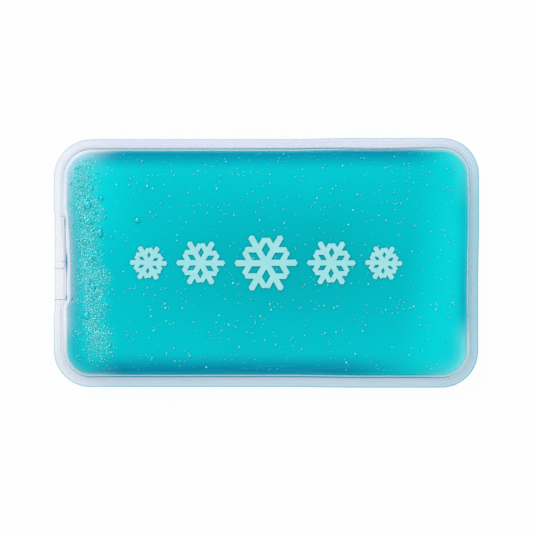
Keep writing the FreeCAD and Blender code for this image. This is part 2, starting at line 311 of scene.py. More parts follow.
def coloured_mesh(name, points, faces, colours):
    """A mesh with a colour at each point, kept as an attribute that the materials read."""
    mesh = bpy.data.meshes.new(name)
    mesh.from_pydata(points.reshape(-1, 3), [], faces)
    tint = mesh.attributes.new("tint", "FLOAT_COLOR", "POINT")
    tint.data.foreach_set("color", colours.reshape(-1).astype(np.float32))
    return mesh


def place_mesh(name, mesh):
    """An object that shows a mesh and rides on the pack's one body."""
    piece = bpy.data.objects.new(name, mesh)
    bpy.context.collection.objects.link(piece)
    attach(piece, "root")
    return piece


def ring_mesh(name, rings, colours, mist=None, turned=False):
    """A mesh object through rings, each joined to the next by one four-sided face a point, with a
    colour and maybe an amount of mist at each point. turned swaps which side faces out."""
    points = np.stack(pulled(*rings), axis=-1)
    here = np.arange((len(points) - 1) * RING).reshape(-1, RING)
    beside = np.roll(here, -1, axis=1)
    faces = np.stack([here, beside, beside + RING, here + RING], axis=-1).reshape(-1, 4)
    mesh = coloured_mesh(name, points, faces[:, ::-1] if turned else faces, colours)
    if mist is not None:
        amount = mesh.attributes.new("mist", "FLOAT", "POINT")
        amount.data.foreach_set("value", mist.reshape(-1).astype(np.float32))
    cleaned = bmesh.new()
    cleaned.from_mesh(mesh)
    bmesh.ops.remove_doubles(cleaned, verts=cleaned.verts, dist=MERGE_WITHIN)
    bmesh.ops.dissolve_degenerate(cleaned, edges=cleaned.edges, dist=NO_LENGTH)
    open_edges = sum(edge.is_boundary for edge in cleaned.edges)
    cleaned.to_mesh(mesh)
    cleaned.free()
    mesh.polygons.foreach_set("use_smooth", np.ones(len(mesh.polygons), bool))
    print(f"{name}: {len(mesh.polygons)} faces, {open_edges} open edges")
    return place_mesh(name, mesh)


# %% [markdown]
# ## Colour in layers
#
# The look of clear film comes from thin lines and veils that lie over each other, such as a painted
# highlight along a crease beside a line of painted shade. An image could hold them, but it would have to
# be drawn for this one pack. Here each line is a layer of colour with a strength that depends on where a
# point is, and the layers are laid over each other as glazes are. The result is kept with the points of
# the mesh.

# %% Colours as written on a colour card
def shade(red, green, blue):
    """A colour given as three numbers from 0 to 255, as the linear values that light is worked out in."""
    value = np.array([red, green, blue]) / 255
    return np.where(value <= 0.04045, value / 12.92, ((value + 0.055) / 1.055) ** 2.4)


def glaze(below, colour, strength):
    """Lays a colour over what is below, which has a colour and a cover in its last axis: the new cover
    is strength + cover * (1 - strength), and the new colour is the two colours' mean by cover."""
    strength = np.clip(strength, 0, 1)[..., None]
    cover = below[..., 3:]
    new_cover = strength + cover * (1 - strength)
    mixed = colour * strength + below[..., :3] * cover * (1 - strength)
    return np.concatenate([mixed / np.maximum(new_cover, 1e-6), new_cover], axis=-1)


def glaze_all(below, layers):
    """Lays each layer, a colour and its strength, over what is below, the first one first."""
    for colour, strength in layers:
        below = glaze(below, colour, strength)
    return below


def line(distance, place, width):
    """The strength of a soft line: the bell exp(-((distance - place) / width) ^ 2)."""
    return np.exp(-((distance - place) / width) ** 2)


# %% Where a point is
def outside_rectangle(x, y, half_x, half_y, radius):
    """How far points are outside a rectangle with round corners, negative inside: in a corner the
    distance to the corner's centre less the radius, and elsewhere the distance to the nearer side."""
    beside_x, beside_y = np.abs(x) - half_x + radius, np.abs(y) - half_y + radius
    outside = np.hypot(np.maximum(beside_x, 0), np.maximum(beside_y, 0))
    return outside + np.minimum(np.maximum(beside_x, beside_y), 0) - radius


def edge_distance(x, y):
    """How far points are inside the cut outline."""
    return -outside_rectangle(x, y, HALF_LENGTH, HALF_WIDTH, CORNER_RADIUS)


def sides(x, y):
    """How much a point belongs to the left, right, top and bottom edge and to the corners, each from 0
    to 1. The edges' shares are the squares of a direction away from the pouch, and the corners' is
    four times their product."""
    beside_x = np.maximum(np.abs(x) - (HALF_LENGTH - 2 * CORNER_RADIUS), 1e-9)
    beside_y = np.maximum(np.abs(y) - (HALF_WIDTH - 2 * CORNER_RADIUS), 1e-9)
    share_x = beside_x ** 2 / (beside_x ** 2 + beside_y ** 2)
    corner = 4 * share_x * (1 - share_x)
    return share_x * (x < 0), share_x * (x > 0), (1 - share_x) * (y > 0), (1 - share_x) * (y < 0), corner


def lower_right(x, y):
    """How much a point belongs to the lower right corner, most on its right-hand side."""
    _, right, _, _, corner = sides(x, y)
    return np.clip(2 * corner * right, 0, 1) * (y < 0)


# %% [markdown]
# ## The gel
#
# The gel is a clear blue-green jelly that fills the pouch. Along the steep long edges it is painted dark
# teal, as painted shade, and where it thins out at the corners it looks pale. Real scattering and shading
# in the gel would take long to render and would be lost in an export, so they are worked out from the
# place instead: glazes of painted shade, painted light and pale colour over one body colour. The finest
# dew on the cold left end is drawn in the gel's colour as well, because a see-through veil over it would
# turn it grey.

# %% The gel's skin
GEL_GAP = 0.05 * MM
gel_front = whole_face(bulge_rings(1, -GEL_GAP, steps=44), middle_steps=14)
gel_back = whole_face(bulge_rings(-1, -GEL_GAP, steps=12), middle_steps=8)
gel_rings = stack(backwards(gel_front), gel_back)
print("rings of the gel:", len(gel_rings[0]))

# %% The gel's colours, with painted light and shade
GEL_BODY = shade(1, 205, 213)
# Painted shade along the steep edges, and in a band along the left end
GEL_EDGE_SHADE = shade(1, 136, 172)
# Painted shade in a broad oval in the middle
GEL_SHADOW = shade(1, 171, 180)
# Painted light at the right end and the upper left
GEL_LIT = shade(1, 220, 224)
GEL_PALE = shade(70, 232, 236)
GEL_STREAK = shade(40, 190, 214)
# Painted light on the gel's steep rim, which is shaded
GEL_RIM_LIT = shade(30, 238, 248)
GEL_MISTY = shade(6, 240, 244)
FROST = shade(110, 245, 252)
VEIL = shade(222, 242, 255)
# A painted highlight along the film's crease
PALE_CREASE_HIGHLIGHT = shade(178, 251, 255)
LIFT_OFF = 4.35 * MM


def left_pinch(x, y):
    """How deep the closing welds pinch the pouch at points, only in its left quarter."""
    return PINCH_DEPTH * pinch_shape(y) * (x < -HALF_LENGTH / 2)


def thin_gel(x, y):
    """How thin the gel is at its left end, where the white table shows through: exp(-d / 1.2 mm), with
    d the distance in from LIFT_OFF, where the film lifts off the weld. It falls more slowly in the
    upper left corner, and there is hardly any in the lower one."""
    left, *_, corner = sides(x, y)
    upper_left = corner ** 2 * (y > 0) * (x < 0)
    inside = edge_distance(x, y) - left_pinch(x, y)
    depth = (1.2 + 0.6 * upper_left) * MM
    end = left * (1 - 0.8 * smooth_step(corner, 0.1, 0.7) * (y < 0))
    return (end + 0.8 * upper_left) * np.exp(-np.maximum(inside - LIFT_OFF, 0) / depth)


def mist_amount(x, y):
    """How densely fine dew covers the front: most about a centimetre in from the left end, and none
    beyond two. It reaches a little further in towards the bottom, with an uneven edge from two sine
    waves, and fades out at both corners."""
    uneven = (1.1 * np.sin(y / (3.7 * MM)) + 0.7 * np.sin(y / (1.7 * MM) + 1)) * MM
    inwards = x + HALF_LENGTH + 0.085 * y
    start = grow(inwards, 4.5, 6.5) * (0.12 + 0.88 * grow(inwards, 9, 12.5))
    return start * fade(inwards + uneven, 11, 21) * fade(-y, 22, 38) * fade(y, 31, 39)


# %% The gel's colour at each point
def gel_tint(x, y, mist):
    """The gel's colour at points: the body colour, with painted shade in a broad oval in the middle and
    in a band along the top, bottom and right edges that fades out towards the corners, and painted light
    at the right end, the upper left and the steep rim. It is pale in the last millimetres at the corners,
    where the gel is thin, with a painted highlight at the lower right crease. Dew above the gel makes it
    paler too, beside a band of painted shade along the left end."""
    inside = edge_distance(x, y)
    left, right, top, bottom, corner = sides(x, y)
    body = np.broadcast_to((*GEL_BODY, 1.0), x.shape + (4,))
    # Painted shade in a broad oval in the middle
    oval = line(x, 10 * MM, 56 * MM) * line(y, -2 * MM, 27 * MM)
    upper_left = grow(-x, 42, 60) * grow(y, -5, 20)
    # Painted shade along the top, bottom and right edges, fading out towards the corners
    shade_top = top * fade(x, 47, 67) * fade(-x, 57, 70) * fade(inside, 4.4, 12)
    shade_bottom = bottom * fade(x, 22, 56) * fade(-x, 52, 69) * fade(inside, 5.5, 13)
    shade_right = right * (0.2 + 0.3 * line(y, -12 * MM, 14 * MM)) * fade(inside, 4.4, 9)
    pale = corner * smooth_step(left + right, 0.15, 0.6) * fade(inside, 4, 8 + 2.5 * (x > 0))
    # A painted highlight along the crease at the lower right corner
    crease = lower_right(x, y) * np.exp(-np.maximum(inside - LIFT_OFF, 0) / (1.4 * MM))
    colour = glaze_all(body, [
        (GEL_SHADOW, 0.75 * oval),
        # Painted light at the right end and the upper left
        (GEL_LIT, 0.85 * grow(x - 0.12 * y, 47, 66)),
        (GEL_LIT, 0.6 * upper_left),
        (GEL_EDGE_SHADE, 0.9 * shade_top),
        (GEL_EDGE_SHADE, 0.9 * shade_bottom * (1 - 0.4 * fade(inside, 4.2, 6))),
        (GEL_EDGE_SHADE, shade_right),
        (GEL_PALE, 0.9 * pale),
        (PALE_CREASE_HIGHLIGHT, 0.75 * crease),
        # Painted light on the steep rim
        (GEL_RIM_LIT, (0.5 + 0.45 * right) * fade(inside, 4.3, 5.5)),
    ])
    for number, place in enumerate([5.3, 6.1, 6.9, 7.6]):
        streak = line(inside, place * MM, 0.16 * MM) * smooth_step(wander(60 + number, 3, 7, 11, 17), 0, 1)
        colour = glaze(colour, GEL_STREAK, 0.4 * streak * bottom)
    # A band of painted shade along the left end
    band = left * line(inside, 7.8 * MM, 2.4 * MM)
    return glaze_all(colour, [
        (GEL_MISTY, 0.9 * mist),
        (GEL_EDGE_SHADE, band * (0.14 + 0.2 * fade(y, 8, 24))),
        (VEIL, 0.9 * thin_gel(x, y)),
    ])


gel_mist = mist_amount(*gel_rings[:2]) * (gel_rings[2] > WELD_HEIGHT)
gel = ring_mesh("gel", gel_rings, gel_tint(*gel_rings[:2], gel_mist), gel_mist)
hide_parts("gel_filling")

# %% [markdown]
# ## The film
#
# Both sheets are one skin each: out over the bulge, across the welded border, round the cut edge and
# back on the inside against the gel. The front carries what the welding tool left: a shallow groove
# between a rim and a bead, and two overlapping bars on the left, where the filling gap was welded shut
# last. Those few hundredths of a millimetre are modelled, because they catch the light.

# %% Heights on the welded border
def closing_marks(x, y):
    """How far points are outside the two closing bars, negative inside them: the distance to each
    bar's rectangle with round corners. The bars' left ends run out over the cut edge."""
    left = -HALF_LENGTH - 2 * CLOSING_RADIUS
    reach = -HALF_LENGTH + WELD_WIDTH + PINCH_DEPTH - FILM - BEAD_WIDTH / 2
    spans = [
        (reach - CLOSING_STEP, CLOSING_TOP - FIRST_CLOSING_LENGTH, CLOSING_TOP),
        (reach, -CLOSING_BOTTOM, SECOND_CLOSING_LENGTH - CLOSING_BOTTOM),
    ]
    distances = []
    for right, bottom, top in spans:
        half_x, half_y = (right - left) / 2, (top - bottom) / 2
        from_middle = x - left - half_x, y - bottom - half_y
        distances.append(outside_rectangle(*from_middle, half_x, half_y, CLOSING_RADIUS))
    return distances


BAND = WELD_WIDTH - FILM
GROOVE_WALL = 0.12 * MM
at_rim = [0, 0.03, 0.1, 0.2, 0.3, 0.4, 0.45, 0.52, 0.6]
at_bead = [3.13, 3.2, 3.27, 3.35, 3.45, 3.55]
band_inset = np.concatenate([at_rim, np.arange(0.72, 3.1, 0.12), at_bead]) * MM
print("rings across the border:", len(band_inset))


def port_setback(y):
    """How far the cut edge is set back at height y on the left side, where the filling gap was."""
    beyond = np.abs(y) - PORT_LENGTH / 2
    return PORT_SETBACK * (1 - smooth_step(beyond, -PORT_FADING / 2, PORT_FADING / 2))


def border_rings(side, outer):
    """The welded border from its inner end to the cut edge. Each ring is a mean of the cut outline and
    the outline where the bulge starts, and it is as high as the film's face there, less the groove
    and the closing bars on the front. The closed filling gap sets the left edge back a little."""
    base_x, base_y, _ = (axis[:1] for axis in bulge_rings(side, FILM, steps=1))
    share = (band_inset / BAND)[:, None]
    x, y = cut_x * (1 - share) + base_x * share, cut_y * (1 - share) + base_y * share
    x[:, LEFT_SIDE] += port_setback(y[:, LEFT_SIDE]) * (1 - share)
    if not outer:
        return backwards((x, y, WELD_HEIGHT + 0 * x))
    z = WELD_HEIGHT + side * FILM + 0 * x
    if side > 0:
        groove_end = WELD_WIDTH - FILM - BEAD_WIDTH
        inset = np.broadcast_to(band_inset[:, None], x.shape)
        groove = smooth_step(inset, RIM_WIDTH, RIM_WIDTH + GROOVE_WALL)
        z = z - WELD_DEPTH * groove * (1 - smooth_step(inset, groove_end - GROOVE_WALL, groove_end))
        for distance in closing_marks(x, y):
            pressed = fade(distance, -0.15, 0)
            z = np.minimum(z, WELD_HEIGHT + FILM - pressed * (WELD_DEPTH + CLOSING_DEPTH))
    return backwards((x, y, z))


# %% The skin of one sheet
def sheet_rings(side, steps):
    """All rings of one sheet: the middle, the bulge, the border, and back on the inside. The second
    value is 1 on the faces that look outwards and 0 on the inside."""
    x, y, z = bulge_rings(side, FILM, steps)
    outside = x, y, side * np.maximum(side * z, side * WELD_HEIGHT + FILM)
    inside = bulge_rings(side, 0.0, steps // 2)
    outer = stack(backwards(whole_face(outside, middle_steps=12)), border_rings(side, outer=True))
    inner = stack(backwards(border_rings(side, outer=False)), whole_face(inside, middle_steps=4))
    seen = np.concatenate([np.ones(outer[0].shape), np.zeros(inner[0].shape)])
    return stack(outer, inner), seen


front_rings, front_seen = sheet_rings(1, steps=44)
back_rings, back_seen = sheet_rings(-1, steps=16)
print("rings of the sheets:", len(front_rings[0]), "and", len(back_rings[0]))

# %% [markdown]
# ## What shows in the film
#
# On the border the two sheets are fused, so the clear film is milky there. Painted light makes it nearly
# white along the left and top edges, and painted shade and the gel's reflected colour make it bluer along
# the right and bottom ones, with faint streaks along its length. The cut edge is a thin cyan line of
# painted light carried along the film. At the inner end of the weld, the bead and the crease beside it
# show as fine lines of painted shade and painted highlight. Over the gel the film is clear, apart from a
# white veil at the thin left end.

# %% Colours of the film
# Milky film with painted light: lit at the left and top, shaded and tinted by the gel at the right and
# bottom
MILK_LEFT_LIT = shade(246, 248, 255)
MILK_TOP_LIT = shade(214, 226, 250)
MILK_RIGHT_SHADED = shade(109, 202, 220)
MILK_BOTTOM_SHADED = shade(170, 210, 232)
# Painted light carried along the film to its cut edge
CUT_EDGE_GLOW = shade(50, 194, 216)
# Painted shade at the steps of the groove and of the closing bars
GREY_SHADE_LINE = shade(120, 150, 168)
CREASE_SHADE = shade(105, 160, 180)
# Painted shade at the bead, in the gel's colour
TEAL_SHADE_LINE = shade(14, 140, 176)
BLUE_SHADE_LINE = shade(1, 160, 200)
TEAL_SLIVER = shade(1, 142, 186)
# Painted highlights: on the creases, at the corners, on the closing bars, and as sheen in the border's
# streaks
WHITE_HIGHLIGHT = shade(255, 255, 255)
# A painted highlight along the crease, and painted light on the shaded lower left corner
AQUA_CREASE_HIGHLIGHT = shade(88, 212, 230)
LILAC = shade(232, 208, 228)


def milk_with_painted_light(x, y):
    """The fused border's colour and cover, with painted light: lit along the left and top, shaded and
    tinted with the gel's reflected colour along the right and bottom, each side's by how near it is.
    """
    left, right, top, bottom, _ = (value[..., None] for value in sides(x, y))
    colour = MILK_LEFT_LIT * left + MILK_RIGHT_SHADED * right + MILK_TOP_LIT * top + MILK_BOTTOM_SHADED * bottom
    return np.concatenate([colour, 0.34 * (left + top) + 0.48 * right + 0.44 * bottom], axis=-1)


def across_border(x, y):
    """How far points are inside the cut outline, counted so that the bead lies equally far in where
    the closing welds pinch it: less the pinch, which grows from 0 to whole over the border."""
    inside = edge_distance(x, y)
    return inside, inside - left_pinch(x, y) * smooth_step(inside, 1.0 * MM, WELD_WIDTH)


# %% Glazes on the border
def border_tint(x, y):
    """Both sheets' colour and cover on the border: milky with painted light as far in as the bead and
    clear over the gel, with faint streaks of lilac and of painted white sheen along it, and a cyan line of
    painted light at the cut edge."""
    inside, across = across_border(x, y)
    left, right, top, bottom, _ = sides(x, y)
    colour = milk_with_painted_light(x, y)
    colour[..., 3] *= fade(across, 3.45, 3.65)
    # Faint streaks of lilac and of painted white sheen
    for number, place in enumerate([0.8, 1.3, 1.8, 2.2, 2.7]):
        streak = line(inside, place * MM, 0.2 * MM) * (0.5 + 0.5 * wander(40 + number, 2, 3, 5, 9))
        colour = glaze(colour, LILAC if number % 2 else WHITE_HIGHLIGHT, 0.2 * streak)
    from_cut = inside - port_setback(y) * (x < -HALF_LENGTH / 2)
    # The cut edge's painted light, strongest along the right and bottom
    rim = line(from_cut, 0.0, 0.24 * MM) * (0.65 * right + 0.7 * bottom + 0.3 * top + 0.3 * left)
    return glaze(colour, CUT_EDGE_GLOW, rim)


# %% Glazes on the front
# Above which height each closing bar's outline is faint
CLOSING_FAINT_ABOVE = [10.0 * MM, -5.0 * MM]
# Slivers of teal at the bars' inner ends, in millimetres: in from the left, up, half length, strength
CLOSING_SLIVERS = [
    (4.0, 14.4, 1.6, 0.9), (4.05, 9.0, 4.0, 0.35), (4.6, 0.2, 3.2, 1.6), (4.5, -12.3, 0.8, 0.9),
]


def front_tint(x, y):
    """The front's colour and cover: the border, then fine lines of painted shade and painted highlight
    along the bead and the crease, painted highlights at the corners, the veil over the thin left end, and
    the closing bars' outlines of painted shade with a painted glint inside each."""
    inside, across = across_border(x, y)
    left, right, top, bottom, corner = sides(x, y)
    colour = border_tint(x, y)
    distance = across - 0.35 * MM * line(x, 40 * MM, 14 * MM) * (y > 0)
    teal_top = grow(x, -20, 5) * fade(x, 52, 64)
    # Lines of painted shade and painted highlight along the bead and the crease
    # Each line's colour, its place and width in millimetres, and its strength
    lines = [
        (GREY_SHADE_LINE, 2.5, 0.16, 0.3 * left + 0.25 * right),
        (GREY_SHADE_LINE, 3.1, 0.16, 0.3 * left + 0.35 * right),
        (CREASE_SHADE, 3.55, 0.42, 0.85 * top),
        (TEAL_SHADE_LINE, 3.45, 0.16, 0.6 * top * teal_top),
        (AQUA_CREASE_HIGHLIGHT, 3.85, 0.35, 0.95 * right),
        (WHITE_HIGHLIGHT, 4.6, 0.5, 0.97 * left),
        (WHITE_HIGHLIGHT, 3.6, 0.42, 0.85 * lower_right(x, y)),
        (PALE_CREASE_HIGHLIGHT, 4.2, 0.3, 0.4 * top),
        (PALE_CREASE_HIGHLIGHT, 4.17, 0.26, 1.5 * bottom),
        (BLUE_SHADE_LINE, 3.7, 0.28, 1.3 * bottom),
        (AQUA_CREASE_HIGHLIGHT, 4.35, 0.3, 0.65 * corner * (x < 0) * (y < 0)),
    ]
    for hue, place, width, strength in lines:
        colour = glaze(colour, hue, line(distance, place * MM, width * MM) * strength)
    # A painted highlight along each corner
    crescent = corner * grow(inside, 3.5, 4) * fade(inside, 4.2, 5.6)
    veil = thin_gel(x, y) * grow(across, 3.7, 4.2)
    colour = glaze_all(colour, [(WHITE_HIGHLIGHT, 0.35 * crescent), (VEIL, 0.95 * veil)])
    before_end = x <= -HALF_LENGTH + WELD_WIDTH - MM
    # Each closing bar's outline is painted shade, with a painted glint just inside it
    for from_bar, faint_above in zip(closing_marks(x, y), CLOSING_FAINT_ABOVE):
        outline = (0.75 - 0.6 * (y > faint_above) * before_end) * line(from_bar, 0.0, 0.13 * MM)
        glint = 0.5 * line(from_bar, -0.3 * MM, 0.13 * MM)
        colour = glaze_all(colour, [(GREY_SHADE_LINE, outline), (WHITE_HIGHLIGHT, glint)])
    for place_x, place_y, reach, strength in CLOSING_SLIVERS:
        sliver = line(x, -HALF_LENGTH + place_x * MM, 0.3 * MM) * line(y, place_y * MM, reach * MM)
        colour = glaze(colour, TEAL_SLIVER, strength * sliver)
    return colour


# %% Both sheets, whose insides have no colour
front_colour = front_tint(*front_rings[:2])
front_colour[..., 3] *= front_seen
front_sheet = ring_mesh("front_sheet", front_rings, front_colour)
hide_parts("front_film")
back_colour = border_tint(*back_rings[:2])
back_colour[..., 3] *= back_seen
back_sheet = ring_mesh("back_sheet", back_rings, back_colour, turned=True)
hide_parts("back_film")

# %% [markdown]
# ## Materials
#
# Small helpers make a material, add a node and feed its inputs, so that each finish below is only its
# own few nodes. What is the same all over a surface is set on the shader itself.

# %% Helpers for node materials
def feed(tree, node, inputs):
    """Fills a node's inputs, each given by name or number: a plain value is set on the socket, and
    another node's output is linked to it."""
    for socket, value in inputs.items():
        if isinstance(value, bpy.types.NodeSocket):
            tree.links.new(value, node.inputs[socket])
        else:
            node.inputs[socket].default_value = value


def add_node(tree, kind, inputs=None, **properties):
    """A new node of a kind, with its properties and inputs set. Returns its outputs."""
    node = tree.nodes.new("ShaderNode" + kind)
    for key, value in properties.items():
        setattr(node, key, value)
    feed(tree, node, inputs or {})
    return node.outputs


def new_material(name):
    """A node material with only its output and a Principled shader. Returns the material, its node
    tree and the shader."""
    material = bpy.data.materials.new(name)
    material.use_nodes = True
    return material, material.node_tree, material.node_tree.nodes["Principled BSDF"]


# %% The gel's material
gel_material, tree, shader = new_material("cooling_gel")
tint = add_node(tree, "Attribute", attribute_name="tint")["Color"]
mist = add_node(tree, "Attribute", attribute_name="mist")["Fac"]
place = add_node(tree, "TexCoord")["Object"]
cloud = add_node(tree, "TexNoise", {"Vector": place, "Scale": 28.0, "Detail": 3.0, "Roughness": 0.5})
clouds = add_node(tree, "MapRange", {"Value": cloud["Fac"], "To Min": 0.93, "To Max": 1.05})
cloudy = add_node(
    tree, "Mix", {"Factor": 1.0, 6: tint, 7: clouds["Result"]}, data_type="RGBA", blend_type="MULTIPLY"
)
speck = add_node(tree, "TexNoise", {"Vector": place, "Scale": 2600.0, "Detail": 2.0, "Roughness": 0.6})
beads = add_node(
    tree, "MapRange", {"Value": speck["Fac"], "From Min": 0.38, "From Max": 0.7, "To Max": 0.5}
)
misty = add_node(tree, "Math", {0: beads["Result"], 1: mist}, operation="MULTIPLY")
frosted = add_node(
    tree, "Mix", {"Factor": misty["Value"], 6: cloudy[2], 7: (*FROST, 1.0)}, data_type="RGBA"
)
feed(tree, shader, {"Base Color": frosted[2], "Roughness": 0.35, "Specular IOR Level": 0.02})
gel.data.materials.append(gel_material)
print("gel material:", len(tree.nodes), "nodes")

# %% The film's material
film_material, tree, shader = new_material("clear_film")
tint = add_node(tree, "Attribute", attribute_name="tint")
feed(tree, shader, {"Base Color": tint["Color"], "Alpha": tint["Alpha"]})
feed(tree, shader, {"Roughness": 0.3, "Specular IOR Level": 0.3})
front_sheet.data.materials.append(film_material)
back_sheet.data.materials.append(film_material)
print("film material:", len(tree.nodes), "nodes")

# %% [markdown]
# ## The print
#
# A row of snowflakes is printed on the front in pale ink. The solid already has their exact shape, so it
# stays, and only gets its finish: a matt pale aqua with the slight mottling of screen ink on soft film.

# %% The ink
INK_LIGHT, INK_DARK = shade(178, 234, 234), shade(146, 222, 226)
ink_material, tree, shader = new_material("pale_ink")
place = add_node(tree, "TexCoord")["Object"]
mottle = add_node(tree, "TexNoise", {"Vector": place, "Scale": 420.0, "Detail": 4.0, "Roughness": 0.6})
ink = add_node(
    tree, "Mix", {"Factor": mottle["Fac"], 6: (*INK_DARK, 1.0), 7: (*INK_LIGHT, 1.0)}, data_type="RGBA"
)
feed(tree, shader, {"Base Color": ink[2], "Roughness": 0.55, "Specular IOR Level": 0.2})
front_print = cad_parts["front_print"]
front_print.data.materials.clear()
front_print.data.materials.append(ink_material)
print("print:", front_print.name)

# %% [markdown]
# ## Dew, drops and bubbles
#
# The cold pack gathers moisture: a dense fine dew on the left end, with a few larger drops. Tiny
# bubbles in the gel show all over the front, and lie on the film here. A node tree could scatter them
# all, but each is only a small dome, so those of a kind are worked out as arrays and make one mesh.
# Rays from above find where each sits and how the film leans there.

# %% Where things sit on the film
RAYS_FROM = 0.1
bpy.context.view_layer.update()
film_tree = BVHTree.FromObject(front_sheet, bpy.context.evaluated_depsgraph_get())


def on_film(x, y):
    """The points of the front straight below x and y, and the directions away from the film there."""
    hits = [film_tree.ray_cast((px, py, RAYS_FROM), (0, 0, -1)) for px, py in zip(x, y)]
    return np.array([hit[0] for hit in hits]), np.array([hit[1] for hit in hits])


# %% The print's shape, to keep it clear
PRINT_SPANS = np.array([13.0, 17.0, 22.0, 17.0, 13.0]) * MM
PRINT_PLACES = np.array([-40.9, -22.7, 0.0, 22.7, 40.9]) * MM
# The strokes' half widths and the branches' start and reach, as shares of the span
ARM_HALF, BRANCH_HALF, BRANCH_START, BRANCH_REACH = 0.053, 0.043, 0.24, 0.22
COS_60, SIN_60 = 0.5, 0.866


def clear_of_print(x, y, margin):
    """True where points are further than margin from every snowflake's strokes. A snowflake repeats
    every 60 degrees, so a point is turned to lie beside one arm before its distances are measured:
    to the arm, and to the branch that leaves it at 60 degrees."""
    beside = x[:, None] - PRINT_PLACES
    radius = np.hypot(beside, y[:, None])
    turn = np.arctan2(y[:, None], beside)
    turn = np.abs((turn + np.pi / 6) % (np.pi / 3) - np.pi / 6)
    along, aside = radius * np.cos(turn), radius * np.sin(turn)
    arm = np.hypot(np.maximum(along - PRINT_SPANS / 2, 0), aside) - ARM_HALF * PRINT_SPANS
    past_fork = along - BRANCH_START * PRINT_SPANS
    reach = np.clip(past_fork * COS_60 + aside * SIN_60, 0, BRANCH_REACH * PRINT_SPANS)
    branch = np.hypot(past_fork - reach * COS_60, aside - reach * SIN_60) - BRANCH_HALF * PRINT_SPANS
    return np.minimum(arm, branch).min(1) > margin


# %% Domes
LIGHT_FROM = (-0.6, 0.8)
PRINT_MARGIN = 0.1 * MM
SUNK_SHARE = 0.1


def with_top(values):
    """Values on a dome's rings, for one dome or for each, as flat rows that end with 0 for the top."""
    flat = values.reshape(*values.shape[:-2], -1)
    return np.concatenate([flat, np.zeros(flat.shape[:-1] + (1,))], axis=-1)


def dome_faces(count, rows, columns):
    """The faces of some domes: those between their rings, then those at their tops, then their
    undersides. A dome's points go round its rings from the rim inwards, and its top comes last."""
    top = rows * columns
    index = np.arange(top).reshape(rows, columns)
    beside = np.roll(index, -1, axis=1)
    quads = np.stack([index[:-1], beside[:-1], beside[1:], index[1:]], axis=-1).reshape(-1, 4)
    fan = np.stack([index[-1], beside[-1], np.full(columns, top)], axis=-1)
    start = np.arange(count)[:, None, None] * (top + 1)
    faces = (start + quads).reshape(-1, 4).tolist() + (start + fan).reshape(-1, 3).tolist()
    return faces + (start[:, :, 0] + index[0][::-1]).tolist()


def domes(name, x, y, width, length, height, rows, columns, paint, seed):
    """Small domes on the film at x and y as one mesh. A dome's outline is an ellipse of a half width
    and a half length, a little lopsided. Its height over the film is height * (1 - out ^ 2 - SUNK_SHARE),
    where out goes from 0 at the top to 1 at the rim. paint gives the colours from out and from how
    far a point is turned to the light, from -1 to 1."""
    rng = np.random.default_rng(seed)
    keep = clear_of_print(x, y, np.max(width) + PRINT_MARGIN)
    x, y, width, length, height = (values[keep] for values in (x, y, width, length, height))
    count = len(x)
    base, normal = on_film(x, y)
    side = np.cross([0.0, 1.0, 0.0], normal)
    side /= np.linalg.norm(side, axis=1, keepdims=True)
    ahead = np.cross(normal, side)
    out = np.sin(np.linspace(np.pi / 2, 0, rows + 1))[:-1]
    turn = np.linspace(0, 2 * np.pi, columns, endpoint=False)
    lean = rng.uniform(0, 2 * np.pi, (count, 1, 1))
    lopsided = 1 + 0.1 * np.sin(2 * turn + lean) + 0.06 * np.sin(3 * turn - 2 * lean)
    radius = out[:, None] * lopsided
    from_top = with_top(out[:, None] + 0 * turn)
    to_light = with_top(out[:, None] * (np.cos(turn) * LIGHT_FROM[0] + np.sin(turn) * LIGHT_FROM[1]))
    moves = [
        (with_top(radius * np.cos(turn)) * width[:, None], side),
        (with_top(radius * np.sin(turn)) * length[:, None], ahead),
        ((1 - from_top ** 2 - SUNK_SHARE) * height[:, None], normal),
    ]
    points = base[:, None] + sum(far[..., None] * way[:, None] for far, way in moves)
    from_top, to_light = (np.broadcast_to(values, points.shape[:2]) for values in (from_top, to_light))
    faces = dome_faces(count, rows, columns)
    mesh = coloured_mesh(name, points, faces, paint(from_top, to_light, rng, count))
    # The flat undersides stay flat-shaded, so that they don't turn the light at the rims
    mesh.polygons.foreach_set("use_smooth", np.arange(len(faces)) < len(faces) - count)
    print(f"{name}: {count} domes of {len(faces) // count} faces")
    return place_mesh(name, mesh)


# %% How water is painted
# The water's colours, with its light and shade painted: pale where it is lit and darker where it is shaded
WATER_LIGHT = shade(165, 255, 255)
WATER_BODY = shade(1, 204, 213)
WATER_CLEAR = shade(1, 222, 228)
WATER_SHADE = shade(1, 197, 205)
WATER_DARK = shade(1, 122, 142)


def water_cover(out, cover):
    """The domes' cover as a last axis for their colours: nothing at the very rim."""
    return (cover * (out < 1 - 1e-9))[..., None]


def paint_dew(out, lit, rng, count):
    """Fine dew: pale on the side turned to the light and dark on the other, each dome more or less so.
    A see-through dome would also shade what is under it, so the domes cover it nearly whole."""
    brightness = smooth_step(0.6 * lit + rng.normal(0.05, 0.48, (count, 1)), -0.5, 0.65)[..., None]
    colour = WATER_SHADE * (1 - brightness) + WATER_LIGHT * brightness
    return np.concatenate([colour, water_cover(out, rng.uniform(0.9, 1.0, (count, 1)))], axis=-1)


